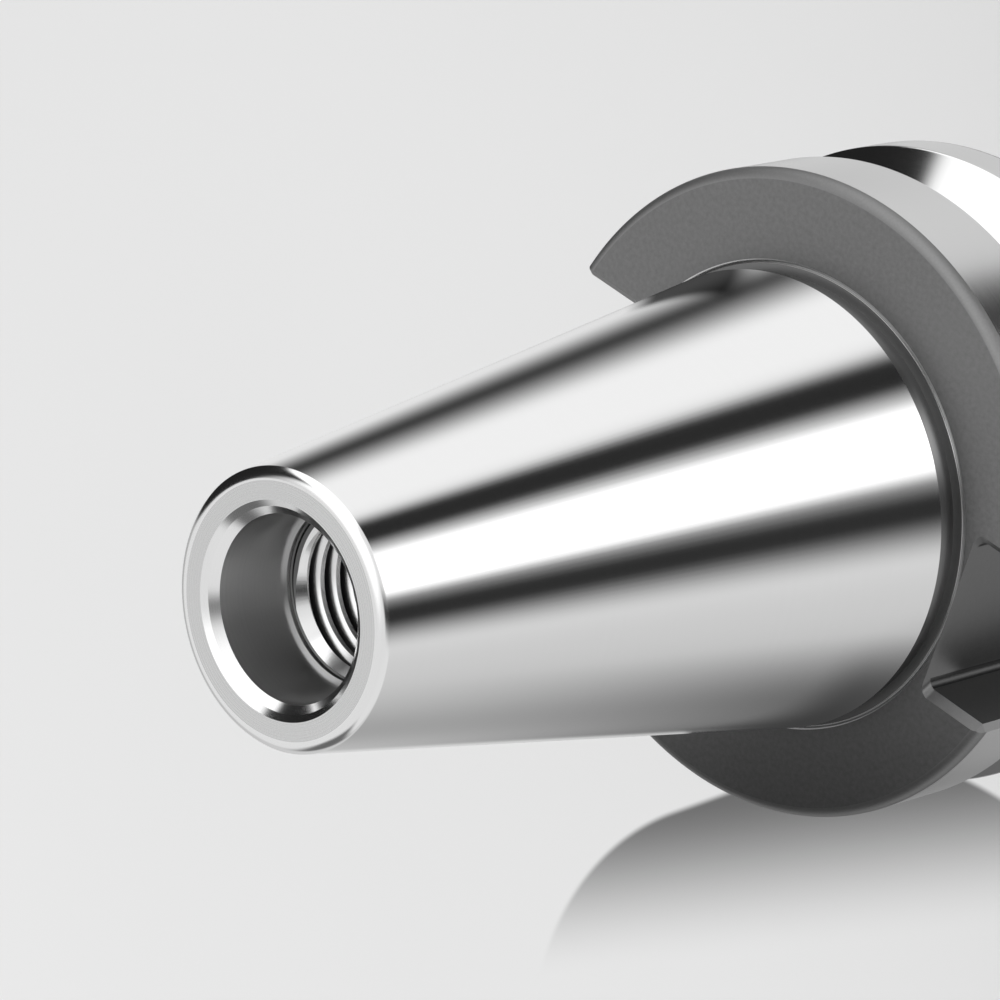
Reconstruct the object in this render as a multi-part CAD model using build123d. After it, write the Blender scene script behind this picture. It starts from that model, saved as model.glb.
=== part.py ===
from build123d import *
import os
from math import tan, radians

# Collet chuck holder: a 7/24 taper shank with a gripper flange, a threaded nose, and in it
# a slit double-cone collet, its clamping nut and an adjustable depth stop.
# Millimetres. +Z runs from the clamping nut to the small end of the taper. The origin is
# the centre of the nut's front face, on which the holder stands. The drive slots lie on X.

# Taper shank, from the gauge plane up
GAUGE_D = 44.45
TAPER_RATIO = 7 / 24
TAPER_LENGTH = 65.4
GROUND_END = 0.76              # the ground cone stops this far short of the gauge plane
SMALL_END_BREAK_WIDTH = 0.95   # radially
SMALL_END_BREAK_HEIGHT = 0.64
PROJECTION = 100.0             # gauge plane to the nut's front face

# Bore in the small end, from its face down
MOUTH_D = 19.7
MOUTH_BREAK_D = 18.5
MOUTH_BREAK_DEPTH = 0.4
MOUTH_DEPTH = 1.1
PILOT_D = 17.0
PILOT_DEPTH = 9.1
STUD_THREAD_D = 16.0
STUD_THREAD_END = 40.0
TAP_DRILL_D = 14.0
TAP_DRILL_END = 45.0
DRILL_POINT_HALF_ANGLE = 59
COOLANT_D = 10.0

# Undercut between the taper and the flange
NECK_D = 43.0
UNDERCUT_D = 45.1
UNDERCUT_DEPTH = 0.4

# Gripper flange, from the gauge plane down
FLANGE_D = 63.0
FLANGE_REAR = 2.0
FLANGE_FRONT = 27.0
FLANGE_REAR_CHAMFER = 0.9
FLANGE_FRONT_CHAMFER = 0.8
VEE_CENTRE = 16.6
VEE_ROOT_D = 53.0
VEE_ROOT_WIDTH = 4.23
VEE_HALF_ANGLE = 30
SLOT_WIDTH = 16.1
SLOT_FLOOR = 22.6              # floor of a drive slot, from the axis
SLOT_CORNER_ROUND = 1.0
SLOT_EDGE_BREAK = 0.4

# Body and threaded nose below the flange
BODY_D = 44.5
BODY_CORNER_CONE = 1.2         # cone in the corner between body and flange
NUT_TO_SHOULDER = 5.5          # bare length of the nose behind the nut
SHOULDER_CHAMFER = 1.2
NOSE_THREAD_D = 40.0
NOSE_CHAMFER = 1.0
THREAD_RELIEF_D = 37.4
THREAD_RELIEF_WIDTH = 2.6
NOSE_MOUTH_BREAK = 0.3

# Collet, from its front face up
COLLET_LENGTH = 40.0
COLLET_D = 33.0
COLLET_FACE_D = 25.0
COLLET_RIM_D = 30.6
COLLET_RIM_LAND = 0.6
COLLET_GROOVE_D = 27.4
COLLET_GROOVE_WIDTH = 3.6
COLLET_SHOULDER_LAND = 0.5
REAR_CONE_HALF_ANGLE = 8
FRONT_CONE_HALF_ANGLE = 30
TOOL_D = 12.0
TOOL_MOUTH_BREAK = 0.4
SLITS_EACH_END = 8
SLIT_WIDTH = 0.8
FRONT_SLIT_STOP = 6.0          # solid length left at the rear end
REAR_SLIT_STOP = 12.5          # solid length left at the front end

# Clamping nut, from its front face up
NUT_LENGTH = 22.5
NUT_D = 50.0
NUT_OPENING_D = 26.2
NUT_OPENING_BREAK = 0.4
NUT_FACE_D = 43.0
NUT_FRONT_BEVEL = 2.0
NUT_REAR_CHAMFER = 0.7
NUT_RELIEF_D = 40.8
NUT_RELIEF_LENGTH = 2.45       # from the extractor lip to the thread
WRENCH_SLOTS = 6
WRENCH_SLOT_WIDTH = 6.5
WRENCH_SLOT_DEPTH = 2.8
WRENCH_SLOT_LENGTH = 15.0
EXTRACTOR_THICKNESS = 2.0
EXTRACTOR_OFFSET = 0.9         # the extractor lip is bored off centre by this much

# Depth stop screw and the bore it runs in
STOP_D = 18.0
STOP_LENGTH = 18.0
COLLET_TO_STOP = 25.6
STOP_CHAMFER = 0.8
STOP_HOLE_D = 6.0
STOP_HEX = 10.0                # across flats
STOP_HEX_DEPTH = 8.0
STOP_BORE_LENGTH = 36.0
CAVITY_D = 23.4                # room for the tool's shank behind the collet
CAVITY_LENGTH = 19.6

# Fits
COLLET_SETBACK = 0.4           # collet face behind the nut's front face
CONE_CLEARANCE = 0.03          # radial, collet to the body's cone and to the nut's cone
COLLET_TO_NOSE = 0.3           # largest diameter of the collet, clear of the nose face
RIM_CLEARANCE = 0.15           # radial, collet rim in the nut
LIP_CLEARANCE = 0.3            # collet rim to the extractor lip behind it
THREAD_CLEARANCE = 0.04        # radial, nut on the nose
STOP_CLEARANCE = 0.05          # radial, stop screw in its bore

FLANGE_TOP = PROJECTION - FLANGE_REAR
FLANGE_BOTTOM = PROJECTION - FLANGE_FRONT
SMALL_END = PROJECTION + TAPER_LENGTH
REAR_SLOPE = tan(radians(REAR_CONE_HALF_ANGLE))


def front_cone_height(radius):
    """Height at which the collet's short front cone has this radius."""
    return COLLET_SETBACK + (radius - COLLET_FACE_D / 2) / tan(radians(FRONT_CONE_HALF_ANGLE))


RIM_BOTTOM = front_cone_height(COLLET_RIM_D / 2)
RIM_TOP = RIM_BOTTOM + COLLET_RIM_LAND
COLLET_SHOULDER = RIM_TOP + COLLET_GROOVE_WIDTH
REAR_CONE_START = COLLET_SHOULDER + COLLET_SHOULDER_LAND
COLLET_TOP = COLLET_SETBACK + COLLET_LENGTH
NOSE_FACE = REAR_CONE_START + COLLET_TO_NOSE
SHOULDER_HEIGHT = NUT_LENGTH + NUT_TO_SHOULDER
STOP_FRONT = COLLET_TOP + COLLET_TO_STOP
STOP_BORE_START = COLLET_TOP + CAVITY_LENGTH
STOP_BORE_END = STOP_BORE_START + STOP_BORE_LENGTH


def turned(points):
    """A solid of revolution about Z from its half section in (radius, height)."""
    outline = Polyline([(radius, 0, height) for radius, height in points], close=True)
    return revolve(make_face(outline), Axis.Z)


def taper_radius(height):
    """Radius of the shank's ground cone."""
    return (GAUGE_D - (height - PROJECTION) * TAPER_RATIO) / 2


def rear_cone_radius(height):
    """Radius of the collet's long rear cone."""
    return COLLET_D / 2 - (height - REAR_CONE_START) * REAR_SLOPE


def body_blank():
    """Outside of the holder body, turned from the nose to the small end."""
    thread_r = NOSE_THREAD_D / 2
    relief_r = THREAD_RELIEF_D / 2
    body_r = BODY_D / 2
    flange_r = FLANGE_D / 2
    relief_bottom = SHOULDER_HEIGHT - THREAD_RELIEF_WIDTH
    vee_height = PROJECTION - VEE_CENTRE
    root_half = VEE_ROOT_WIDTH / 2
    vee_half = root_half + (FLANGE_D - VEE_ROOT_D) / 2 * tan(radians(VEE_HALF_ANGLE))
    neck_r = NECK_D / 2
    ground_end = PROJECTION + GROUND_END
    ground_end_r = taper_radius(ground_end)
    cone_top = SMALL_END - SMALL_END_BREAK_HEIGHT
    cone_top_r = taper_radius(cone_top)
    return turned([
        (0, NOSE_FACE),
        (thread_r - NOSE_CHAMFER, NOSE_FACE),
        (thread_r, NOSE_FACE + NOSE_CHAMFER),
        (thread_r, relief_bottom - (thread_r - relief_r)),
        (relief_r, relief_bottom),
        (relief_r, SHOULDER_HEIGHT),
        (body_r - SHOULDER_CHAMFER, SHOULDER_HEIGHT),
        (body_r, SHOULDER_HEIGHT + SHOULDER_CHAMFER),
        (body_r, FLANGE_BOTTOM - BODY_CORNER_CONE),
        (body_r + BODY_CORNER_CONE, FLANGE_BOTTOM),
        (flange_r - FLANGE_FRONT_CHAMFER, FLANGE_BOTTOM),
        (flange_r, FLANGE_BOTTOM + FLANGE_FRONT_CHAMFER),
        (flange_r, vee_height - vee_half),
        (VEE_ROOT_D / 2, vee_height - root_half),
        (VEE_ROOT_D / 2, vee_height + root_half),
        (flange_r, vee_height + vee_half),
        (flange_r, FLANGE_TOP - FLANGE_REAR_CHAMFER),
        (flange_r - FLANGE_REAR_CHAMFER, FLANGE_TOP),
        (UNDERCUT_D / 2, FLANGE_TOP),
        (UNDERCUT_D / 2 - UNDERCUT_DEPTH, FLANGE_TOP - UNDERCUT_DEPTH),
        (neck_r, FLANGE_TOP - UNDERCUT_DEPTH),
        (neck_r, ground_end - (ground_end_r - neck_r)),
        (ground_end_r, ground_end),
        (cone_top_r, cone_top),
        (cone_top_r - SMALL_END_BREAK_WIDTH, SMALL_END),
        (0, SMALL_END),
    ])


def body_bore():
    """Everything bored out along the axis: stud hole, coolant way, stop bore, collet cone."""
    pilot_floor = SMALL_END - PILOT_DEPTH
    drill_end = SMALL_END - TAP_DRILL_END
    drill_r = TAP_DRILL_D / 2
    coolant_r = COOLANT_D / 2
    point_length = (drill_r - coolant_r) / tan(radians(DRILL_POINT_HALF_ANGLE))
    stop_r = STOP_D / 2
    cavity_r = CAVITY_D / 2
    nose_r = rear_cone_radius(NOSE_FACE) + CONE_CLEARANCE
    cone_end = NOSE_FACE + (nose_r - cavity_r) / REAR_SLOPE
    return turned([
        (0, SMALL_END),
        (MOUTH_D / 2, SMALL_END),
        (MOUTH_BREAK_D / 2, SMALL_END - MOUTH_BREAK_DEPTH),
        (PILOT_D / 2, SMALL_END - MOUTH_DEPTH),
        (PILOT_D / 2, pilot_floor),
        (STUD_THREAD_D / 2, pilot_floor),
        (STUD_THREAD_D / 2, SMALL_END - STUD_THREAD_END),
        (drill_r, SMALL_END - STUD_THREAD_END - (STUD_THREAD_D / 2 - drill_r)),
        (drill_r, drill_end),
        (coolant_r, drill_end - point_length),
        (coolant_r, STOP_BORE_END + (stop_r - coolant_r)),
        (stop_r, STOP_BORE_END),
        (stop_r, STOP_BORE_START + (cavity_r - stop_r)),
        (cavity_r, STOP_BORE_START),
        (cavity_r, cone_end),
        (nose_r - NOSE_MOUTH_BREAK * REAR_SLOPE, NOSE_FACE + NOSE_MOUTH_BREAK),
        (nose_r + NOSE_MOUTH_BREAK, NOSE_FACE),
        (0, NOSE_FACE),
    ])


def slot_section():
    """Cross-section of both drive slots, square to the axis, with rounded floor corners."""
    reach = FLANGE_D
    section = Pos(SLOT_FLOOR + reach / 2, 0) * Rectangle(reach, SLOT_WIDTH)
    floor_corners = section.vertices().group_by(Axis.X)[0]
    section = fillet(floor_corners, SLOT_CORNER_ROUND)
    return section + section.rotate(Axis.Z, 180)


def drive_slots():
    """Both drive slots through the flange, flared at its two faces to break their edges."""
    section = slot_section()
    slots = Pos(0, 0, FLANGE_BOTTOM) * extrude(section, FLANGE_TOP - FLANGE_BOTTOM)
    flare = extrude(section, SLOT_EDGE_BREAK, taper=-45)
    slots += Pos(0, 0, FLANGE_TOP - SLOT_EDGE_BREAK) * flare
    slots += Pos(0, 0, FLANGE_BOTTOM + SLOT_EDGE_BREAK) * flare.mirror(Plane.XY)
    return slots


def make_holder_body():
    return body_blank() - drive_slots() - body_bore()


def collet_slits(first_angle, bottom, top):
    """One set of radial slits, evenly spaced, cut through the collet's wall."""
    blade = Box(COLLET_D, SLIT_WIDTH, top - bottom, align=(Align.MIN, Align.CENTER, Align.MIN))
    angles = [first_angle + 360 / SLITS_EACH_END * number for number in range(SLITS_EACH_END)]
    return [Pos(0, 0, bottom) * Rot(0, 0, angle) * blade for angle in angles]


def make_collet():
    """A double-cone collet, slit in turn from its front and its rear end."""
    rim_r = COLLET_RIM_D / 2
    groove_r = COLLET_GROOVE_D / 2
    tool_r = TOOL_D / 2
    blank = turned([
        (tool_r + TOOL_MOUTH_BREAK, COLLET_SETBACK),
        (COLLET_FACE_D / 2, COLLET_SETBACK),
        (rim_r, RIM_BOTTOM),
        (rim_r, RIM_TOP),
        (groove_r, RIM_TOP),
        (groove_r, COLLET_SHOULDER),
        (COLLET_D / 2, COLLET_SHOULDER),
        (COLLET_D / 2, REAR_CONE_START),
        (rear_cone_radius(COLLET_TOP), COLLET_TOP),
        (tool_r + TOOL_MOUTH_BREAK, COLLET_TOP),
        (tool_r, COLLET_TOP - TOOL_MOUTH_BREAK),
        (tool_r, COLLET_SETBACK + TOOL_MOUTH_BREAK),
    ])
    overrun = 1
    half_step = 180 / SLITS_EACH_END
    front_slits = collet_slits(0, COLLET_SETBACK - overrun, COLLET_TOP - FRONT_SLIT_STOP)
    rear_slits = collet_slits(half_step, COLLET_SETBACK + REAR_SLIT_STOP, COLLET_TOP + overrun)
    return blank - front_slits - rear_slits


def nut_blank():
    """The nut turned inside and out, before its lip and wrench slots."""
    nut_r = NUT_D / 2
    opening_r = NUT_OPENING_D / 2
    rim_bore_r = COLLET_RIM_D / 2 + RIM_CLEARANCE
    cone_start = front_cone_height(opening_r - CONE_CLEARANCE)
    cone_end = front_cone_height(rim_bore_r - CONE_CLEARANCE)
    lip_bottom = RIM_TOP + LIP_CLEARANCE
    lip_top = lip_bottom + EXTRACTOR_THICKNESS
    lip_r = rim_bore_r - EXTRACTOR_OFFSET
    thread_start = lip_top + NUT_RELIEF_LENGTH
    thread_r = NOSE_THREAD_D / 2 + THREAD_CLEARANCE
    relief_r = NUT_RELIEF_D / 2
    return turned([
        (opening_r + NUT_OPENING_BREAK, 0),
        (NUT_FACE_D / 2, 0),
        (nut_r, NUT_FRONT_BEVEL),
        (nut_r, NUT_LENGTH - NUT_REAR_CHAMFER),
        (nut_r - NUT_REAR_CHAMFER, NUT_LENGTH),
        (thread_r + NUT_REAR_CHAMFER, NUT_LENGTH),
        (thread_r, NUT_LENGTH - NUT_REAR_CHAMFER),
        (thread_r, thread_start),
        (relief_r, thread_start - (relief_r - thread_r)),
        (relief_r, lip_top),
        (lip_r, lip_top),
        (lip_r, lip_bottom),
        (rim_bore_r, lip_bottom),
        (rim_bore_r, cone_end),
        (opening_r, cone_start),
        (opening_r, NUT_OPENING_BREAK),
    ])


def extractor_bore():
    """The off-centre bore that leaves the extractor lip deep on one side only."""
    bore_r = COLLET_RIM_D / 2 + RIM_CLEARANCE
    bottom = RIM_TOP + LIP_CLEARANCE
    bore = Cylinder(bore_r, EXTRACTOR_THICKNESS, align=(Align.CENTER, Align.CENTER, Align.MIN))
    return Pos(0, EXTRACTOR_OFFSET, bottom) * bore


def wrench_slot():
    """One wrench slot: open at the front face, with a round end where the cutter stopped."""
    reach = WRENCH_SLOT_DEPTH * 2
    floor_r = NUT_D / 2 - WRENCH_SLOT_DEPTH
    end_r = WRENCH_SLOT_WIDTH / 2
    straight = WRENCH_SLOT_LENGTH - end_r
    plan = Pos(0, straight / 2) * Rectangle(WRENCH_SLOT_WIDTH, straight)
    plan += Pos(0, straight) * Circle(end_r)
    face = Plane(origin=(floor_r, 0, 0), x_dir=(0, 1, 0), z_dir=(1, 0, 0)) * plan
    return extrude(face, reach)


def make_clamping_nut():
    slots = [Rot(0, 0, 360 / WRENCH_SLOTS * number) * wrench_slot() for number in range(WRENCH_SLOTS)]
    return nut_blank() - extractor_bore() - slots


def make_stop_screw():
    """A hollow screw with a hexagon socket in its front end."""
    outer_r = STOP_D / 2 - STOP_CLEARANCE
    screw = Cylinder(outer_r, STOP_LENGTH, align=(Align.CENTER, Align.CENTER, Align.MIN))
    screw = chamfer(screw.edges().filter_by(GeomType.CIRCLE), STOP_CHAMFER)
    across_corners = STOP_HEX / (3 ** 0.5 / 2)
    socket = extrude(RegularPolygon(across_corners / 2, 6), STOP_HEX_DEPTH)
    hole = Cylinder(STOP_HOLE_D / 2, STOP_LENGTH, align=(Align.CENTER, Align.CENTER, Align.MIN))
    return Pos(0, 0, STOP_FRONT) * (screw - socket - hole)


parts = {
    "holder_body": make_holder_body(),
    "clamping_nut": make_clamping_nut(),
    "collet": make_collet(),
    "stop_screw": make_stop_screw(),
}

os.makedirs("parts", exist_ok=True)
for name, shape in parts.items():
    export_step(shape, f"parts/{name}.step")
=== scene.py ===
"""The collet chuck holder's looks: smooth turned pieces, cut threads, steel finishes, a studio.

Sizes are written in millimetres and turned to metres where a piece is made. +Z runs from the
clamping nut to the small end of the taper, and the drive slots lie on X. HAIR is the play within
which a point counts as lying on a plane, and PAST how far a cutter reaches past what it cuts.
"""
from __future__ import annotations

import logging
import math
from contextlib import contextmanager
from dataclasses import dataclass
from enum import Enum
from typing import Callable, Iterator, Sequence

import bpy
from mathutils import Matrix, Vector


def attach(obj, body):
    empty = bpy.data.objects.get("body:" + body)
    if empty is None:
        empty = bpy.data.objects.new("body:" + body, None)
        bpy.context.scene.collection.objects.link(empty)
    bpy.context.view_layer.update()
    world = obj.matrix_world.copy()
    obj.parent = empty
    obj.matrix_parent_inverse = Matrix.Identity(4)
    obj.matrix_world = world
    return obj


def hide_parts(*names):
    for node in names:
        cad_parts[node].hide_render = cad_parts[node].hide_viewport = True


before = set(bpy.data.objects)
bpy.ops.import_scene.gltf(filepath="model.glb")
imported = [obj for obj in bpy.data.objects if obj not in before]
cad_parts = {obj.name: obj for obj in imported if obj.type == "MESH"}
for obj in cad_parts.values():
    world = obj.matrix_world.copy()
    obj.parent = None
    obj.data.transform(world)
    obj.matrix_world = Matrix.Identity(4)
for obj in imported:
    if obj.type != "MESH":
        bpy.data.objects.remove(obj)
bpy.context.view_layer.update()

Piece = bpy.types.Object
Pair = tuple[float, float]
Triple = tuple[float, float, float]

MM = 0.001
MICRON = 1e-6
HAIR = 0.01
PAST = 1.0
LOG = logging.getLogger("chuck_holder")


class Lay(Enum):
    """Which way the fine marks of a machined surface run."""

    TURNED = "rings round the axis"
    GRAIN = "an even grain"


class Cut(Enum):
    """What a tool does to a piece."""

    AWAY = "DIFFERENCE"
    DOWN_TO = "INTERSECT"


def direction(azimuth: float, elevation: float) -> Vector:
    """The unit vector that points this way.

    Args:
        azimuth: angle round the axis from +X, in degrees.
        elevation: angle above the floor, in degrees.

    Returns:
        The vector.
    """
    turn = math.radians(azimuth)
    lift = math.radians(elevation)
    flat = math.cos(lift)
    return Vector((math.cos(turn) * flat, math.sin(turn) * flat, math.sin(lift)))


class Sock:
    """A node socket that takes part in Python expressions by adding Math nodes."""

    def __init__(self, nodes: Nodes, socket: bpy.types.NodeSocket) -> None:
        """Keeps the socket and the tree it belongs to."""
        self.nodes = nodes
        self.socket = socket

    def _math(self, operation: str, *values: Sock | float) -> Sock:
        """The result of one Math node over these sockets or numbers."""
        return self.nodes.make("ShaderNodeMath", dict(enumerate(values)), operation=operation)

    def __add__(self, other: Sock | float) -> Sock:
        """self + other."""
        return self._math("ADD", self, other)

    def __sub__(self, other: Sock | float) -> Sock:
        """self - other."""
        return self._math("SUBTRACT", self, other)

    def __rsub__(self, other: float) -> Sock:
        """other - self."""
        return self._math("SUBTRACT", other, self)

    def __mul__(self, other: Sock | float) -> Sock:
        """self * other."""
        return self._math("MULTIPLY", self, other)

    __radd__ = __add__
    __rmul__ = __mul__

    def held(self, low: float, high: float) -> Sock:
        """The value held inside a range."""
        return self._math("MINIMUM", self._math("MAXIMUM", self, low), high)

    def rise(self) -> Sock:
        """The elevation of a direction with this upward part, in degrees."""
        return self._math("ARCSINE", self) * math.degrees(1)

    def wrapped(self, low: float, high: float) -> Sock:
        """The value wrapped round into a range."""
        return self._math("WRAP", self, high, low)

    def angle_over(self, other: Sock) -> Sock:
        """The angle of the point (other, self), in radians."""
        return self._math("ARCTAN2", self, other)

    def length_with(self, other: Sock) -> Sock:
        """The length of the vector (self, other)."""
        return self._math("SQRT", self * self + other * other)

    def step(self, low: float, high: float) -> Sock:
        """A smooth step.

        Args:
            low: value up to which the step is 0.
            high: value from which it is 1.

        Returns:
            The step, from 0 to 1.
        """
        return self.nodes.make(
            "ShaderNodeMapRange",
            {"Value": self, "From Min": low, "From Max": high},
            interpolation_type="SMOOTHSTEP",
        )

    def band(self, low: float, high: float, softness: float) -> Sock:
        """1 inside a range and 0 outside it.

        Args:
            low: where the range starts.
            high: where it ends.
            softness: half the width of its two soft borders.

        Returns:
            The band, from 0 to 1.
        """
        rise = self.step(low - softness, low + softness)
        return rise * (0 - self).step(-high - softness, -high + softness)

    def towards(self, other: Sock | float, share: Sock | float) -> Sock:
        """This value moved towards another by a share of the way."""
        return self + (other - self) * share


class Nodes:
    """Makes the nodes of one material or world."""

    def __init__(self, owner: bpy.types.Material | bpy.types.World) -> None:
        """Gives the owner an empty node tree and keeps the tree."""
        owner.use_nodes = True
        self.tree = owner.node_tree
        self.tree.nodes.clear()

    def make(self, kind: str, inputs: dict | None = None, **settings: str) -> Sock:
        """Adds one node.

        Args:
            kind: the node's type name.
            inputs: socket name or number to a Sock to link or a value to set.
            settings: properties that are set before its sockets.

        Returns:
            The node's first output, or its first input for an output node.
        """
        node = self.tree.nodes.new(kind)
        for name, value in settings.items():
            setattr(node, name, value)
        for name, value in (inputs or {}).items():
            if isinstance(value, Sock):
                self.tree.links.new(value.socket, node.inputs[name])
            else:
                node.inputs[name].default_value = value
        shown = [socket for socket in node.outputs if socket.enabled]
        return Sock(self, shown[0] if shown else node.inputs[0])

    def output(self, sock: Sock, name: str) -> Sock:
        """Another output of the node that a socket belongs to."""
        return Sock(self, sock.socket.node.outputs[name])

    def place(self) -> Sock:
        """The object's own coordinates."""
        return self.output(self.make("ShaderNodeTexCoord"), "Object")

    def split(self, vector: Sock) -> tuple[Sock, Sock, Sock]:
        """The three parts of a vector."""
        parts = self.make("ShaderNodeSeparateXYZ", {"Vector": vector})
        return tuple(self.output(parts, name) for name in "XYZ")

    def grey(self, tone: Sock) -> Sock:
        """A grey of a varying tone."""
        return self.make("ShaderNodeCombineColor", {"Red": tone, "Green": tone, "Blue": tone})

    def surface(self, inputs: dict) -> None:
        """Ends the material in a Principled shader with these inputs."""
        shader = self.make("ShaderNodeBsdfPrincipled", inputs)
        self.make("ShaderNodeOutputMaterial", {"Surface": shader})


@dataclass(frozen=True)
class Steel:
    """One machined steel finish.

    Args:
        name: name of the material.
        tone: grey level of its reflections.
        roughness: blur of its reflections.
        lay: which way its marks run.
        pitch: spacing of its marks or size of its grain, in millimetres.
        depth: height of its marks, in micrometres.
        gloss_play: how far the marks change the roughness.
        tone_play: how far the marks change the tone.
    """

    name: str
    tone: float
    roughness: float
    lay: Lay
    pitch: float
    depth: float
    gloss_play: float = 0.02
    tone_play: float = 0.02

    def material(self) -> bpy.types.Material:
        """The finish as a material, made at its first use.

        Returns:
            The material.
        """
        ready = bpy.data.materials.get(self.name)
        if ready:
            return ready
        material = bpy.data.materials.new(self.name)
        nodes = Nodes(material)
        marks = self._marks(nodes)
        centred = marks - 0.5
        bump = {"Strength": 1.0, "Distance": self.depth * MICRON, "Height": marks}
        nodes.surface(
            {
                "Base Color": nodes.grey(self.tone + centred * (2 * self.tone * self.tone_play)),
                "Roughness": self.roughness + centred * (2 * self.gloss_play),
                "Metallic": 1.0,
                "Normal": nodes.make("ShaderNodeBump", bump),
            }
        )
        return material

    def _marks(self, nodes: Nodes) -> Sock:
        """The surface's marks as a noise from 0 to 1.

        Args:
            nodes: the material's nodes.

        Returns:
            The noise.
        """
        place = nodes.place()
        scale = 1 / (self.pitch * MM)
        if self.lay is Lay.GRAIN:
            return nodes.make(
                "ShaderNodeTexNoise",
                {"Vector": place, "Scale": scale, "Detail": 3.0, "Roughness": 0.6},
                noise_dimensions="3D",
            )
        x, y, z = nodes.split(place)
        return nodes.make(
            "ShaderNodeTexNoise",
            {"W": x.length_with(y) * 1.37 + z, "Scale": scale, "Detail": 4.0, "Roughness": 0.65},
            noise_dimensions="1D",
        )

    def along(self, *places: Pair) -> list[Corner]:
        """Corners of an outline, each a radius and a height, with this finish after every one."""
        return [Corner(radius, height, self) for radius, height in places]


GROUND = Steel("ground_taper", 0.93, 0.10, Lay.TURNED, 0.5, 0.02, 0.01, 0.01)
FACE_TURNED = Steel("turned_end_face", 0.71, 0.27, Lay.TURNED, 0.18, 8.5, 0.06, 0.10)
BRIGHT_EDGE = Steel("bright_chamfer", 0.90, 0.14, Lay.TURNED, 0.2, 0.3)
BORED = Steel("bored_wall", 0.43, 0.30, Lay.TURNED, 0.25, 0.5, 0.05, 0.08)
TAPPED = Steel("cut_thread", 0.85, 0.18, Lay.TURNED, 0.12, 0.3)
FLANGE_GREY = Steel("grey_flange_face", 0.25, 0.60, Lay.GRAIN, 0.5, 11.0, 0.10, 0.30)
# Turned finish of the neck and of the undercut's floor ring, toned dark as painted shade in the undercut
# groove.
NECK = Steel("turned_neck_painted_shade", 0.24, 0.32, Lay.TURNED, 0.2, 0.8, 0.05, 0.06)
LIP = Steel("satin_lip", 0.68, 0.30, Lay.TURNED, 0.2, 0.8, 0.05, 0.06)
UNDERCUT = Steel("turned_undercut", 0.50, 0.28, Lay.TURNED, 0.2, 0.8, 0.05, 0.06)
ROUNDED = Steel("satin_round", 0.30, 0.54, Lay.GRAIN, 0.25, 6.0, 0.06, 0.15)
# The stud thread's sides and its entry ring, toned dark as painted shade in the thread grooves.
THREAD_FLANK_SHADE = Steel("thread_flank_painted_shade", 0.13, 0.30, Lay.TURNED, 0.12, 0.3)
LAND = Steel("satin_land", 0.78, 0.23, Lay.TURNED, 0.25, 0.8, 0.05, 0.05)
VEE = Steel("polished_groove", 0.88, 0.10, Lay.TURNED, 0.3, 0.2)
MILLED = Steel("milled_slot", 0.20, 0.38, Lay.GRAIN, 0.4, 3.0, 0.06, 0.10)
# The drive slots' rounded corners, toned darker than the milled floor and walls as painted shade in the
# corner.
SLOT_CORNER_SHADE = Steel("slot_corner_painted_shade", 0.08, 0.38, Lay.GRAIN, 0.4, 3.0, 0.06, 0.10)
SLOT_SIDE = Steel("slot_side", 0.20, 0.34, Lay.GRAIN, 0.4, 3.0, 0.06, 0.10)
BODY = Steel("fine_turned_body", 0.74, 0.26, Lay.TURNED, 0.3, 0.7, 0.04, 0.04)
NUT = Steel("fine_turned_nut", 0.68, 0.25, Lay.TURNED, 0.3, 0.7, 0.04, 0.04)
COLLET = Steel("ground_collet", 0.82, 0.17, Lay.TURNED, 0.2, 0.4, 0.03, 0.03)
SLIT = Steel("sawn_slit", 0.45, 0.40, Lay.GRAIN, 0.3, 2.0, 0.05, 0.05)
BLACKENED = Steel("blackened_screw", 0.10, 0.34, Lay.TURNED, 0.4, 0.6, 0.05, 0.12)


@dataclass(frozen=True)
class Corner:
    """One corner of a turned outline.

    Args:
        radius: distance from the axis, in millimetres.
        height: place along the axis, in millimetres.
        finish: finish of the surface from this corner to the next.
        rounding: radius of the arc in place of the corner, or 0.
        edge: finish of that arc, if it isn't the next surface's.
    """

    radius: float
    height: float
    finish: Steel
    rounding: float = 0.0
    edge: Steel | None = None

    @property
    def place(self) -> Vector:
        """The corner as a 2-D vector."""
        return Vector((self.radius, self.height))


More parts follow.
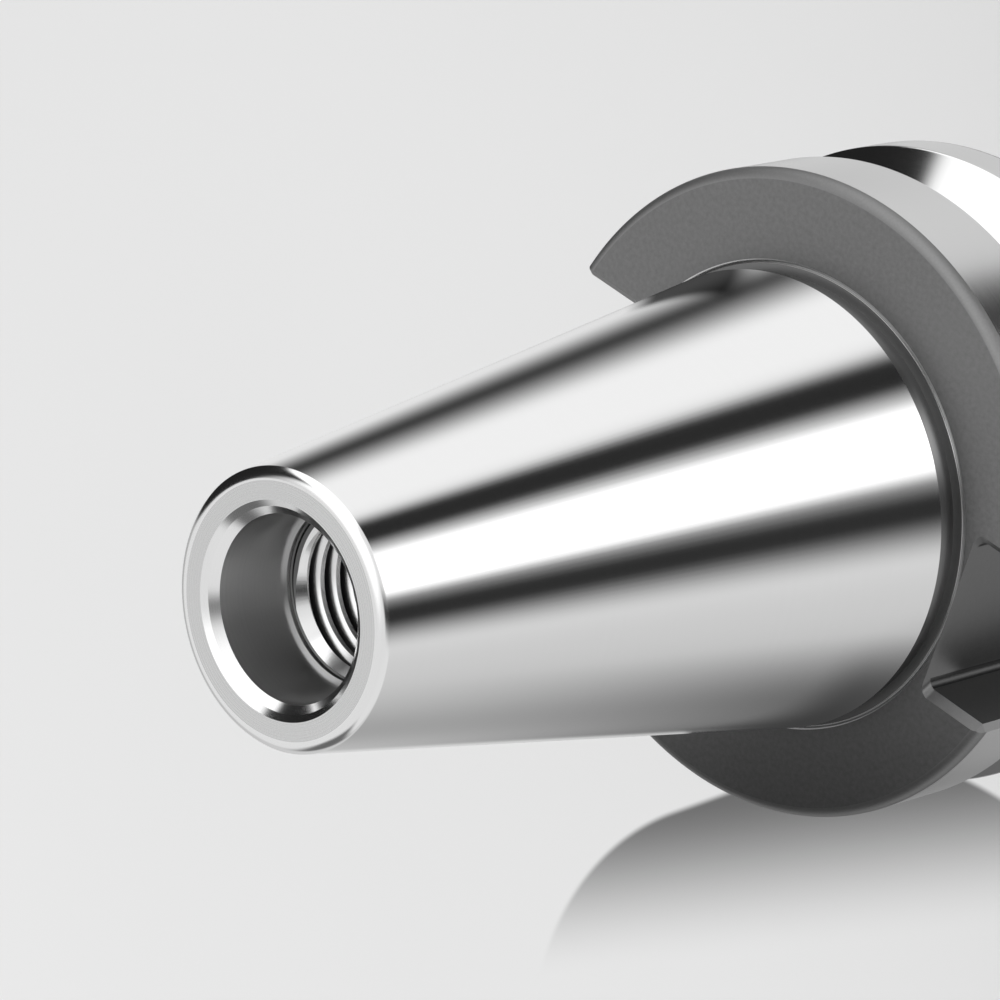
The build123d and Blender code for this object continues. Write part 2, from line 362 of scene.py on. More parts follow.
class Workbench:
    """Modelling steps, done with Blender's own operators as by hand."""

    SEGMENTS = 256
    ARC_STEP = math.radians(6)
    SMOOTH_UP_TO = math.radians(8)
    GUARD = 0.12
    WELD = 2e-6

    @staticmethod
    def pick(obj: Piece) -> None:
        """Makes one object the only selected and the active one."""
        bpy.ops.object.select_all(action="DESELECT")
        obj.select_set(True)
        bpy.context.view_layer.objects.active = obj

    @classmethod
    def start(cls, name: str, add: Callable, scale: Triple = (1, 1, 1), **settings: object) -> Piece:
        """Adds a primitive and puts its place into its mesh.

        Args:
            name: the piece's name.
            add: the operator that adds it.
            scale: how far it is stretched along each axis.
            settings: the operator's settings, in metres.

        Returns:
            The object.
        """
        bpy.ops.object.select_all(action="DESELECT")
        add(**settings)
        obj = bpy.context.object
        obj.name = name
        obj.data.name = name
        obj.scale = scale
        cls.pick(obj)
        bpy.ops.object.transform_apply(location=True, rotation=True, scale=True)
        return obj

    @staticmethod
    @contextmanager
    def editing(obj: Piece, kind: str = "VERT", test: Callable | None = None) -> Iterator[None]:
        """Puts an object in edit mode for a while, with all or some elements selected.

        Args:
            obj: the active object.
            kind: VERT, EDGE or FACE.
            test: says of an element's corners, in millimetres, whether it is wanted; without it all are.

        Yields:
            Nothing.
        """
        bpy.ops.object.mode_set(mode="EDIT")
        bpy.ops.mesh.select_mode(type=kind)
        bpy.ops.mesh.select_all(action="DESELECT" if test else "SELECT")
        if test:
            bpy.ops.object.mode_set(mode="OBJECT")
            mesh = obj.data
            places = [vertex.co / MM for vertex in mesh.vertices]
            if kind == "VERT":
                for vertex in mesh.vertices:
                    vertex.select = test([places[vertex.index]])
            else:
                for element in mesh.edges if kind == "EDGE" else mesh.polygons:
                    element.select = test([places[index] for index in element.vertices])
            bpy.ops.object.mode_set(mode="EDIT")
        yield
        bpy.ops.object.mode_set(mode="OBJECT")

    @staticmethod
    def extrude(way: Triple, growth: Triple | None = None, middle: Triple = (0, 0, 0)) -> None:
        """Extrudes the selection and may stretch its new end.

        Args:
            way: how far it goes, in millimetres.
            growth: how far its new end is stretched along each axis, if it is.
            middle: point that the stretching leaves in place.
        """
        bpy.ops.mesh.extrude_region_move(TRANSFORM_OT_translate={"value": [part * MM for part in way]})
        if growth:
            bpy.ops.transform.resize(value=growth, center_override=[part * MM for part in middle])

    @staticmethod
    def bevel(width: float, segments: int) -> None:
        """Rounds the selected edges by this width, in millimetres."""
        bpy.ops.mesh.bevel(offset=width * MM, segments=segments, affect="EDGES")

    @staticmethod
    def coat(obj: Piece, *finishes: Steel) -> None:
        """Adds the finishes to a piece's materials."""
        for finish in finishes:
            obj.data.materials.append(finish.material())

    @classmethod
    def rings(cls, corners: Sequence[Corner]) -> list[Corner]:
        """Puts arcs and their guard rings in place of the rounded corners.

        Args:
            corners: the closed outline's corners in order.

        Returns:
            The rings in order, as plain corners.
        """
        rings: list[Corner] = []
        for number, corner in enumerate(corners):
            before = corners[number - 1]
            after = corners[(number + 1) % len(corners)]
            if not corner.rounding:
                rings.append(corner)
                continue
            here = corner.place
            back = (before.place - here).normalized()
            ahead = (after.place - here).normalized()
            opening = back.angle(ahead)
            turn = math.pi - opening
            reach = corner.rounding * math.tan(turn / 2)
            centre = here + (back + ahead).normalized() * (corner.rounding / math.sin(opening / 2))
            arm = here + back * reach - centre
            side = math.copysign(1, arm.x * ahead.y - arm.y * ahead.x)
            steps = max(2, math.ceil(turn / cls.ARC_STEP))
            if (before.place - here).length > reach + 2 * cls.GUARD:
                rings.append(Corner(*(here + back * (reach + cls.GUARD)), before.finish))
            edge = corner.edge or corner.finish
            for step in range(steps + 1):
                point = centre + Matrix.Rotation(side * turn * step / steps, 2) @ arm
                rings.append(Corner(*point, edge if step < steps else corner.finish))
            if (after.place - here).length > reach + 2 * cls.GUARD:
                rings.append(Corner(*(here + ahead * (reach + cls.GUARD)), corner.finish))
        return rings

    @classmethod
    def turned(cls, name: str, corners: Sequence[Corner]) -> Piece:
        """Turns a closed outline round the axis, ring by ring.

        Args:
            name: the piece's name.
            corners: the outline's corners.

        Returns:
            The turned object, a closed shell with a finish on each strip.
        """
        rings = cls.rings(corners)
        last = rings[0]
        obj = cls.start(
            name, bpy.ops.mesh.primitive_circle_add, vertices=cls.SEGMENTS, radius=last.radius * MM,
            fill_type="NOTHING", location=(0, 0, last.height * MM),
        )
        with cls.editing(obj):
            for ring in rings[1:] + rings[:1]:
                growth = ring.radius / last.radius
                cls.extrude((0, 0, ring.height - last.height), (growth, growth, 1), (0, 0, ring.height))
                last = ring
            bpy.ops.mesh.select_all(action="SELECT")
            bpy.ops.mesh.remove_doubles(threshold=cls.WELD)
            bpy.ops.mesh.normals_make_consistent(inside=False)
        finishes = list(dict.fromkeys(ring.finish for ring in rings))
        cls.coat(obj, *finishes)
        for index, polygon in enumerate(obj.data.polygons):
            polygon.material_index = finishes.index(rings[index // cls.SEGMENTS].finish)
        return obj

    @classmethod
    def block(cls, name: str, low: Triple, high: Triple, finish: Steel) -> Piece:
        """A box that other steps shape further.

        Args:
            name: the piece's name.
            low: its lowest corner, in millimetres.
            high: its highest corner.
            finish: finish that it leaves where it cuts.

        Returns:
            The box.
        """
        middle = [(a + b) / 2 * MM for a, b in zip(low, high)]
        scale = [(b - a) * MM for a, b in zip(low, high)]
        obj = cls.start(name, bpy.ops.mesh.primitive_cube_add, scale, size=1, location=middle)
        cls.coat(obj, finish)
        return obj

    @classmethod
    def carve(cls, obj: Piece, tool: Piece, cut: Cut = Cut.AWAY) -> None:
        """Cuts a piece with a closed tool and removes the tool.

        Args:
            obj: the piece.
            tool: the tool.
            cut: whether the tool's room is cut away or kept.
        """
        cls.pick(obj)
        modifier = obj.modifiers.new("cut", "BOOLEAN")
        modifier.operation = cut.value
        modifier.solver = "MANIFOLD"
        modifier.material_mode = "TRANSFER"
        modifier.object = tool
        bpy.ops.object.modifier_apply(modifier=modifier.name)
        bpy.data.objects.remove(tool)

    @classmethod
    def ring_of(cls, tool: Piece, count: int, first: float = 0) -> Piece:
        """Copies a tool round the axis and joins the copies.

        Args:
            tool: the tool on the X axis.
            count: how many there are in the end.
            first: angle of the first one, in degrees.

        Returns:
            The joined tools.
        """
        copies = []
        for number in range(count):
            copy = tool.copy()
            copy.data = tool.data.copy()
            bpy.context.scene.collection.objects.link(copy)
            angle = math.radians(first + 360 / count * number)
            copy.data.transform(Matrix.Rotation(angle, 4, "Z"))
            copies.append(copy)
        bpy.data.objects.remove(tool)
        cls.pick(copies[0])
        for copy in copies:
            copy.select_set(True)
        bpy.ops.object.join()
        return copies[0]

    @classmethod
    def finish(cls, obj: Piece, body: str, slot: str) -> None:
        """Shades a piece and hangs it on its body.

        Args:
            obj: the piece.
            body: the body that it moves with.
            slot: the record's material slot; not used.
        """
        cls.pick(obj)
        bpy.ops.object.shade_smooth_by_angle(angle=cls.SMOOTH_UP_TO)
        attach(obj, body)
        LOG.info("%s: %d faces", obj.name, len(obj.data.polygons))


@dataclass
class Thread:
    """A screw thread's ridge, right-handed, with sides at 60 degrees to each other.

    Args:
        name: the piece's name.
        wall: radius of the wall that the ridge stands on, in millimetres.
        crest: radius of its crest.
        crest_width: width of its flat crest.
        low: lowest height that it covers.
        high: highest height that it covers.
        phase: height of its middle at angle 0.
        pitch: rise in one turn.
        flank: finish of its two sides.
        top: finish of its crest and of the upper three fifths of its sides.
    """

    name: str
    wall: float
    crest: float
    crest_width: float
    low: float
    high: float
    phase: float
    pitch: float = 1.5
    flank: Steel = TAPPED
    top: Steel = TAPPED

    SUNK = 0.03
    STEPS = 128
    SIDE_CUTS = 4
    TOP_SHARE = 0.62

    @property
    def root(self) -> float:
        """Radius of the ridge's foot, a little inside its wall."""
        return self.wall + math.copysign(self.SUNK, self.wall - self.crest)

    def build(self, room: Sequence[Corner]) -> Piece:
        """Makes the ridge and cuts it down to the room that it has.

        Args:
            room: turned outline of that room.

        Returns:
            The ridge.
        """
        ridge = self._profile()
        screw = ridge.modifiers.new("helix", "SCREW")
        screw.screw_offset = self.pitch * MM
        screw.iterations = math.ceil((self.high - self._start) / self.pitch) + 1
        screw.steps = self.STEPS
        screw.render_steps = self.STEPS
        bpy.ops.object.modifier_apply(modifier=screw.name)
        with Workbench.editing(ridge):
            bpy.ops.mesh.fill_holes(sides=0)
            bpy.ops.mesh.select_all(action="SELECT")
            bpy.ops.mesh.normals_make_consistent(inside=False)
        near = abs(self.crest - self.root) * MM * self.TOP_SHARE
        for polygon in ridge.data.polygons:
            ends = (ridge.data.vertices[index].co for index in polygon.vertices)
            polygon.material_index = all(abs(end.xy.length - self.crest * MM) < near for end in ends)
        Workbench.carve(ridge, Workbench.turned(f"{self.name}_room", room), Cut.DOWN_TO)
        return ridge

    @property
    def _start(self) -> float:
        """Height of the ridge's middle where it starts, one to two pitches under its lowest."""
        return self.phase + (math.floor((self.low - self.phase) / self.pitch) - 1) * self.pitch

    def _profile(self) -> Piece:
        """The outline that is wound up into the ridge.

        Returns:
            A flat ring of edges in the XZ plane.
        """
        depth = abs(self.crest - self.root)
        root_width = self.crest_width + 2 * depth * math.tan(math.radians(30))
        middle = (self.root + self.crest) / 2
        obj = Workbench.start(
            self.name, bpy.ops.mesh.primitive_plane_add, (depth * MM, root_width * MM, 1), size=1,
            location=(middle * MM, 0, self._start * MM), rotation=(math.pi / 2, 0, 0),
        )
        Workbench.coat(obj, self.flank, self.top)
        outward = self.crest > self.root
        with Workbench.editing(obj):
            bpy.ops.mesh.delete(type="ONLY_FACE")
        with Workbench.editing(obj, "VERT", lambda ends: (ends[0].x > middle) == outward):
            bpy.ops.transform.resize(
                value=(1, 1, self.crest_width / root_width), center_override=(0, 0, self._start * MM)
            )
        if self.top is not self.flank:
            with Workbench.editing(obj, "EDGE", lambda ends: abs(ends[0].x - ends[1].x) > depth / 2):
                bpy.ops.mesh.subdivide(number_cuts=self.SIDE_CUTS)
        return obj


@dataclass
class TaperShank:
    """The ground taper with its neck, the pull stud's bore and that bore's thread."""

    seat_r: float = 22.2
    seat_z: float = 97.6
    seat_sunk: float = 0.15
    neck_r: float = 21.5
    neck_corner: float = 0.45
    ground_end: float = 100.76
    ground_end_r: float = 22.114
    small_end: float = 165.4
    edge_z: float = 164.76
    edge_r: float = 12.78
    edge_corner_r: float = 12.331
    edge_round: float = 1.45
    mouth_r: float = 9.85
    mouth_break_r: float = 9.25
    mouth_break: float = 0.4
    mouth_depth: float = 1.1
    pilot_r: float = 8.5
    pilot_floor: float = 156.3
    entry_r: float = 8.15
    entry_depth: float = 0.45
    entry_floor: float = 0.1
    thread_r: float = 8.0
    thread_crest_r: float = 7.1
    thread_crest_width: float = 0.5
    thread_pitch: float = 2.0
    thread_first: float = 1.6
    thread_room_r: float = 6.0
    thread_end: float = 125.4
    thread_runout: float = 1.0
    drill_r: float = 7.0
    drill_end: float = 120.4
    coolant_r: float = 5.0
    coolant_top: float = 119.2
    coolant_low: float = 100.0

    def build(self) -> list[Piece]:
        """Makes the shank and its thread."""
        shank = Workbench.turned("taper_shank_steel", self._outside() + self._bore())
        return [shank, self._stud_thread()]

    def _outside(self) -> list[Corner]:
        """The outside, from its seat in the flange up to the small end.

        Returns:
            Its corners.
        """
        slope_in = self.ground_end_r - self.neck_r
        return [
            Corner(self.seat_r, self.seat_z - self.seat_sunk, NECK),
            Corner(self.seat_r, self.seat_z, UNDERCUT),
            Corner(self.neck_r, self.seat_z, NECK, self.neck_corner, UNDERCUT),
            Corner(self.neck_r, self.ground_end - slope_in, NECK),
            Corner(self.ground_end_r, self.ground_end, GROUND),
            Corner(self.edge_r, self.edge_z, BRIGHT_EDGE),
            Corner(self.edge_corner_r, self.small_end, FACE_TURNED, self.edge_round, BRIGHT_EDGE),
        ]

    def _bore(self) -> list[Corner]:
        """The pull stud's bore and the coolant way, from the small end down.

        Returns:
            Its corners.
        """
        entry = self.pilot_floor - self.entry_depth
        seat_bore_r = self.coolant_r + self.coolant_low - self.seat_z
        return [
            Corner(self.mouth_r, self.small_end, BRIGHT_EDGE),
            Corner(self.mouth_break_r, self.small_end - self.mouth_break, BRIGHT_EDGE),
            Corner(self.pilot_r, self.small_end - self.mouth_depth, BORED),
            Corner(self.pilot_r, self.pilot_floor, BRIGHT_EDGE),
            Corner(self.entry_r, self.pilot_floor, BORED),
            Corner(self.entry_r, entry, THREAD_FLANK_SHADE),
            Corner(self.thread_r, entry - self.entry_floor, THREAD_FLANK_SHADE),
            *BORED.along(
                (self.thread_r, self.thread_end), (self.drill_r, self.thread_end - self.thread_runout),
                (self.drill_r, self.drill_end), (self.coolant_r, self.coolant_top),
                (self.coolant_r, self.coolant_low), (seat_bore_r, self.seat_z),
            ),
            Corner(seat_bore_r + 2 * self.seat_sunk, self.seat_z - self.seat_sunk, NECK),
        ]

    def _stud_thread(self) -> Piece:
        """The stud thread's ridges, with their bevelled entry.

        Returns:
            The ridge.
        """
        top = self.pilot_floor - self.entry_depth
        outer = self.thread_r + 30 * HAIR
        inner = self.thread_room_r
        return Thread(
            "stud_thread", wall=self.thread_r, crest=self.thread_crest_r,
            crest_width=self.thread_crest_width, low=self.thread_end, high=top,
            phase=self.pilot_floor - self.thread_first, pitch=self.thread_pitch, flank=THREAD_FLANK_SHADE,
        ).build(
            [
                *TAPPED.along((outer, self.thread_end), (inner, self.thread_end)),
                Corner(inner, top - (self.entry_r - inner), BRIGHT_EDGE),
                *TAPPED.along((self.entry_r, top), (outer, top)),
            ]
        )


@dataclass
class FlangedNose:
    """The gripper flange, the body under it and the threaded nose that takes the collet."""

    mouth_r: float = 16.49
    mouth_break: float = 0.3
    mouth_draft: float = 0.04
    nose_z: float = 10.25
    nose_core_r: float = 19.05
    nose_core_break: float = 0.05
    nose_thread_r: float = 20.0
    nose_thread_start_r: float = 19.0
    nose_thread_end: float = 24.1
    nose_thread_lead: float = 1.0
    nose_crest_width: float = 0.19
    relief_r: float = 18.7
    relief_z: float = 25.4
    shoulder_z: float = 28.0
    shoulder_chamfer: float = 1.2
    body_r: float = 22.25
    body_fillet: float = 1.6
    flange_front: float = 73.0
    flange_rear: float = 98.0
    flange_r: float = 31.5
    front_round: float = 0.9
    rear_round: float = 1.05
    vee_z: float = 83.4
    vee_root_r: float = 26.5
    vee_root_half: float = 2.115
    vee_edge_half: float = 5.0
    vee_break: float = 0.2
    undercut_r: float = 22.55
    undercut: float = 0.5
    undercut_break: float = 0.55
    stop_bore_r: float = 9.0
    stop_bore_top: float = 96.0
    stop_bore_low: float = 62.7
    cavity_r: float = 11.7
    cavity_top: float = 60.0
    cavity_low: float = 44.3
    slot_half: float = 8.05
    slot_floor: float = 22.6
    slot_round: float = 1.0
    slot_break: float = 0.8
    slot_floor_break: float = 0.08
    slot_rim_bevel_r: float = 29.7
    slot_flare: float = 6.0

    def build(self) -> list[Piece]:
        """Makes the flange with the body under it, and the nose thread.

        Returns:
            The pieces.
        """
        body = Workbench.turned("flanged_body_steel", self._outside() + self._bore())
        Workbench.carve(body, self._slot_tools())
        # The flange is hidden from reflections, and dark flags stand in for its reflection in the taper.
        body.visible_glossy = False
        return [body, self._nose_thread()]

    def _outside(self) -> list[Corner]:
        """The outside, from the nose up to the undercut that the shank stands in.

        Returns:
            Its corners.
        """
        relief_top = self.relief_z - (self.nose_core_r - self.relief_r)
        shoulder_r = self.body_r - self.shoulder_chamfer
        low_edge = self.vee_z - self.vee_edge_half
        high_edge = self.vee_z + self.vee_edge_half
        return [
            Corner(self.mouth_r + self.mouth_break, self.nose_z, BODY),
            Corner(self.nose_core_r - self.nose_core_break, self.nose_z, BODY),
            Corner(self.nose_core_r, self.nose_z + self.nose_core_break, TAPPED),
            *BODY.along(
                (self.nose_core_r, relief_top), (self.relief_r, self.relief_z),
                (self.relief_r, self.shoulder_z),
            ),
            Corner(shoulder_r, self.shoulder_z, BRIGHT_EDGE),
            Corner(self.body_r, self.shoulder_z + self.shoulder_chamfer, BODY),
            Corner(self.body_r, self.flange_front, FLANGE_GREY, self.body_fillet, BODY),
            Corner(self.flange_r, self.flange_front, LAND, self.front_round, ROUNDED),
            Corner(self.flange_r, low_edge, VEE, self.vee_break, BRIGHT_EDGE),
            Corner(self.vee_root_r, self.vee_z - self.vee_root_half, VEE),
            Corner(self.vee_root_r, self.vee_z + self.vee_root_half, VEE),
            Corner(self.flange_r, high_edge, LAND, self.vee_break, BRIGHT_EDGE),
            Corner(self.flange_r, self.flange_rear, FLANGE_GREY, self.rear_round, ROUNDED),
            Corner(self.undercut_r, self.flange_rear, UNDERCUT, self.undercut_break, LIP),
            Corner(self.undercut_r - self.undercut, self.flange_rear - self.undercut, NECK),
        ]

    def _bore(self) -> list[Corner]:
        """The way through the middle, from the shank down to the nose.

        Returns:
            Its corners.
        """
        top = self.flange_rear - self.undercut
        return [
            *BORED.along(
                (self.stop_bore_r - (top - self.stop_bore_top), top),
                (self.stop_bore_r, self.stop_bore_top), (self.stop_bore_r, self.stop_bore_low),
                (self.cavity_r, self.cavity_top),
            ),
            Corner(self.cavity_r, self.cavity_low, COLLET),
            Corner(self.mouth_r - self.mouth_draft, self.nose_z + self.mouth_break, BRIGHT_EDGE),
        ]

    def _slot_tools(self) -> Piece:
        """The drive slots' two cutters, flared where they pass the flange's rim and faces.

        Returns:
            Both cutters as one tool.
        """
        rim = self.slot_rim_bevel_r
        low = self.flange_front + self.slot_break
        high = self.flange_rear - self.slot_break
        floor_x = self.slot_floor + HAIR
        wider = 1 + self.slot_break / self.slot_half
        deeper = 1 + self.slot_floor_break / (rim - self.slot_floor)
        tool = Workbench.block(
            "slot_tool", (self.slot_floor, -self.slot_half, low), (rim, self.slot_half, high), MILLED
        )
        with Workbench.editing(
            tool, "EDGE", lambda ends: max(p.x for p in ends) < floor_x and abs(ends[0].z - ends[1].z) > HAIR
        ):
            Workbench.bevel(self.slot_round, 16)
        with Workbench.editing(tool, "FACE", lambda ends: all(abs(p.x - rim) < HAIR for p in ends)):
            flare = (1, 1 + self.slot_flare / self.slot_half, 1)
            Workbench.extrude((self.slot_flare, 0, 0), flare, (rim, 0, 0))
        for face_z, way in ((high, 1), (low, -1)):
            with Workbench.editing(tool, "FACE", lambda ends: all(abs(p.z - face_z) < HAIR for p in ends)):
                Workbench.extrude((0, 0, way * self.slot_break), (deeper, wider, 1), (rim, 0, 0))
                Workbench.extrude((0, 0, way * PAST))
        # Floor faces keep the milled finish, rounded corners get the painted corner shade, and walls get the
        # side finish.
        Workbench.coat(tool, SLOT_CORNER_SHADE, SLOT_SIDE)
        for polygon in tool.data.polygons:
            steepness = abs(polygon.normal.y)
            if abs(polygon.normal.z) < 0.1 and polygon.center.x < rim * MM:
                polygon.material_index = (steepness > 0.2) + (steepness > 0.95)
        return Workbench.ring_of(tool, 2)

    def _nose_thread(self) -> Piece:
        """The nose thread's ridges, chamfered at both ends.

        Returns:
            The ridge.
        """
        start = self.nose_thread_start_r
        back = start - 10 * HAIR
        low = self.nose_z + 2 * HAIR
        high = self.nose_thread_end + self.nose_thread_lead
        return Thread(
            "nose_thread", wall=self.nose_core_r, crest=self.nose_thread_r,
            crest_width=self.nose_crest_width, low=self.nose_z, high=self.relief_z, phase=self.nose_z,
        ).build(
            TAPPED.along(
                (back, low), (start, low), (self.nose_thread_r, self.nose_z + self.nose_thread_lead),
                (self.nose_thread_r, self.nose_thread_end), (start, high), (back, high),
            )
        )


@dataclass
class ClampingNut:
    """The nut: its cone closes the collet, and its off-centre lip draws the collet out."""

    outer_r: float = 25.0
    length: float = 22.5
    face_r: float = 21.5
    front_bevel: float = 2.0
    front_round: float = 0.3
    rear_chamfer: float = 0.7
    opening_r: float = 13.1
    opening_break: float = 0.4
    cone_start: float = 1.39
    cone_end: float = 5.46
    rim_bore_r: float = 15.45
    lip_low: float = 6.15
    lip_high: float = 8.15
    lip_offset: float = 0.9
    lip_tool_r: float = 2.0
    lip_tool_play: float = 0.05
    relief_r: float = 20.4
    thread_r: float = 20.04
    thread_crest_r: float = 19.2
    thread_crest_width: float = 0.37
    thread_room_r: float = 18.9
    thread_low: float = 10.6
    thread_phase: float = 11.0
    slots: int = 6
    slot_half: float = 3.25
    slot_floor_r: float = 22.2
    slot_length: float = 15.0

    def build(self) -> list[Piece]:
        """Makes the nut and its thread.

        Returns:
            The pieces.
        """
        nut = Workbench.turned("clamping_nut_steel", self._outline())
        Workbench.carve(nut, self._lip_tool())
        Workbench.carve(nut, self._wrench_tools())
        return [nut, self._thread()]

    def _outline(self) -> list[Corner]:
        """The nut's turned outline, outside first.

        Returns:
            Its corners.
        """
        rear = self.length - self.rear_chamfer
        lip_r = self.rim_bore_r - self.lip_offset
        return [
            Corner(self.opening_r + self.opening_break, 0, FACE_TURNED),
            Corner(self.face_r, 0, BRIGHT_EDGE),
            Corner(self.outer_r, self.front_bevel, NUT, self.front_round),
            Corner(self.outer_r, rear, BRIGHT_EDGE),
            Corner(self.outer_r - self.rear_chamfer, self.length, FACE_TURNED),
            Corner(self.thread_r + self.rear_chamfer, self.length, BRIGHT_EDGE),
            Corner(self.thread_r, rear, TAPPED),
            *NUT.along(
                (self.thread_r, self.thread_low),
                (self.relief_r, self.thread_low - (self.relief_r - self.thread_r)),
                (self.relief_r, self.lip_high), (lip_r, self.lip_high), (lip_r, self.lip_low),
                (self.rim_bore_r, self.lip_low),
            ),
            Corner(self.rim_bore_r, self.cone_end, COLLET),
            Corner(self.opening_r, self.cone_start, NUT),
            Corner(self.opening_r, self.opening_break, BRIGHT_EDGE),
        ]

    def _lip_tool(self) -> Piece:
        """The off-centre bore through the extractor lip.

        Returns:
            Its cutter.
        """
        inner = self.lip_tool_r
        low = self.lip_low - self.lip_tool_play
        high = self.lip_high + PAST / 2
        outline = NUT.along((inner, low), (self.rim_bore_r, low), (self.rim_bore_r, high), (inner, high))
        tool = Workbench.turned("lip_tool", outline)
        tool.data.transform(Matrix.Translation((0, self.lip_offset * MM, 0)))
        return tool

    def _wrench_tools(self) -> Piece:
        """The wrench slots' cutters, with round ends.

        Returns:
            All of them as one tool.
        """
        tool = Workbench.block(
            "wrench_tool", (self.slot_floor_r, -self.slot_half, -2 * PAST),
            (self.outer_r + 3 * PAST, self.slot_half, self.slot_length), MILLED,
        )
        top = self.slot_length - HAIR
        with Workbench.editing(
            tool, "EDGE", lambda ends: min(p.z for p in ends) > top and abs(ends[0].x - ends[1].x) > HAIR
        ):
            Workbench.bevel(self.slot_half - 2 * HAIR, 20)
        return Workbench.ring_of(tool, self.slots)

    def _thread(self) -> Piece:
        """The nut's thread, half a pitch off the nose thread's ridges.

        Returns:
            The ridge.
        """
        low = self.thread_low
        high = self.length - self.rear_chamfer
        thread = Thread(
            "nut_thread", wall=self.thread_r, crest=self.thread_crest_r,
            crest_width=self.thread_crest_width, low=low, high=high, phase=self.thread_phase,
        )
        outer = thread.root
        back = outer + 10 * HAIR
        inner = self.thread_room_r
        lead = outer - inner
        return thread.build(
            TAPPED.along(
                (back, low), (outer, low), (inner, low + lead), (inner, high - lead), (outer, high),
                (back, high),
            )
        )


@dataclass
class SlitCollet:
    """The double-cone collet, slit in turn from both ends."""

    bore_r: float = 6.0
    mouth_break: float = 0.4
    face_z: float = 0.4
    face_r: float = 12.5
    face_round: float = 0.2
    rim_r: float = 15.3
    rim_low: float = 5.25
    rim_high: float = 5.85
    groove_r: float = 13.7
    inner_round: float = 0.3
    shoulder_low: float = 9.45
    shoulder_high: float = 9.95
    shoulder_r: float = 16.5
    top: float = 40.4
    top_r: float = 12.22
    slit_half: float = 0.4
    slits: int = 8
    front_slit_end: float = 34.4
    rear_slit_start: float = 12.9

    def build(self) -> list[Piece]:
        """Makes the collet.

        Returns:
            The piece.
        """
        collet = Workbench.turned("collet_steel", self._outline())
        Workbench.carve(collet, self._slit_tools(0, self.face_z - PAST, self.front_slit_end))
        half_step = 180 / self.slits
        Workbench.carve(collet, self._slit_tools(half_step, self.rear_slit_start, self.top + PAST))
        return [collet]

    def _outline(self) -> list[Corner]:
        """The collet's turned outline, outside first.

        Returns:
            Its corners.
        """
        return [
            Corner(self.bore_r + self.mouth_break, self.face_z, COLLET),
            Corner(self.face_r, self.face_z, COLLET, self.face_round, BRIGHT_EDGE),
            Corner(self.rim_r, self.rim_low, COLLET),
            Corner(self.rim_r, self.rim_high, COLLET),
            Corner(self.groove_r, self.rim_high, COLLET, self.inner_round),
            Corner(self.groove_r, self.shoulder_low, COLLET, self.inner_round),
            Corner(self.shoulder_r, self.shoulder_low, COLLET),
            Corner(self.shoulder_r, self.shoulder_high, COLLET),
            Corner(self.top_r, self.top, COLLET, self.inner_round, BRIGHT_EDGE),
            Corner(self.bore_r + self.mouth_break, self.top, BRIGHT_EDGE),
            Corner(self.bore_r, self.top - self.mouth_break, COLLET),
            Corner(self.bore_r, self.face_z + self.mouth_break, BRIGHT_EDGE),
        ]

    def _slit_tools(self, first: float, low: float, high: float) -> Piece:
        """One set of radial slits.

        Args:
            first: angle of the first slit, in degrees.
            low: height where the slits start.
            high: height where they end.

        Returns:
            Their cutters as one tool.
        """
        blade = Workbench.block(
            "slit_tool", (self.bore_r / 2, -self.slit_half, low),
            (self.shoulder_r + 2 * PAST, self.slit_half, high), SLIT,
        )
        return Workbench.ring_of(blade, self.slits, first)


@dataclass
class DepthStop:
    """The hollow screw in the holder that a tool's shank rests against."""

    outer_r: float = 8.95
    core_r: float = 8.1
    core_break: float = 0.2
    crest_width: float = 0.19
    low: float = 66.0
    high: float = 84.0
    chamfer: float = 0.8
    hole_r: float = 3.0
    hex_across: float = 10.0
    hex_depth: float = 8.0

    def build(self) -> list[Piece]:
        """Makes the screw and its thread.

        Returns:
            The pieces.
        """
        end_r = self.core_r - self.core_break
        screw = Workbench.turned(
            "stop_screw_steel",
            BLACKENED.along(
                (self.hole_r, self.low), (end_r, self.low), (self.core_r, self.low + self.core_break),
                (self.core_r, self.high - self.core_break), (end_r, self.high), (self.hole_r, self.high),
            ),
        )
        socket = Workbench.start(
            "hex_tool", bpy.ops.mesh.primitive_cylinder_add, vertices=6,
            radius=self.hex_across / 2 / math.cos(math.radians(30)) * MM, depth=2 * self.hex_depth * MM,
            location=(0, 0, self.low * MM),
        )
        Workbench.coat(socket, BLACKENED)
        Workbench.carve(screw, socket)
        return [screw, self._thread()]

    def _thread(self) -> Piece:
        """The screw's thread, chamfered at both ends.

        Returns:
            The ridge.
        """
        thread = Thread(
            "stop_thread", wall=self.core_r, crest=self.outer_r, crest_width=self.crest_width, low=self.low,
            high=self.high, phase=self.low, flank=BLACKENED, top=BLACKENED,
        )
        back = thread.root - 10 * HAIR
        start = self.outer_r - self.chamfer
        low = self.low + 2 * HAIR
        high = self.high - 2 * HAIR
        return thread.build(
            BLACKENED.along(
                (back, low), (start, low), (self.outer_r, self.low + self.chamfer),
                (self.outer_r, self.high - self.chamfer), (start, high), (back, high),
            )
        )


@dataclass(frozen=True)
class Card:
    """One light or dark card that stands round the object.

    Args:
        name: what it is; not used.
        azimuth: where its middle stands, in degrees round the axis from +X.
        half_width: half its width, in degrees.
        softness: half the width of its soft side borders, in degrees.
        brightness: how bright it is.
        low: elevation of its lower edge, in degrees.
        high: elevation of its upper edge.
    """

    name: str
    azimuth: float
    half_width: float
    softness: float
    brightness: float
    low: float = -90.0
    high: float = 45.0


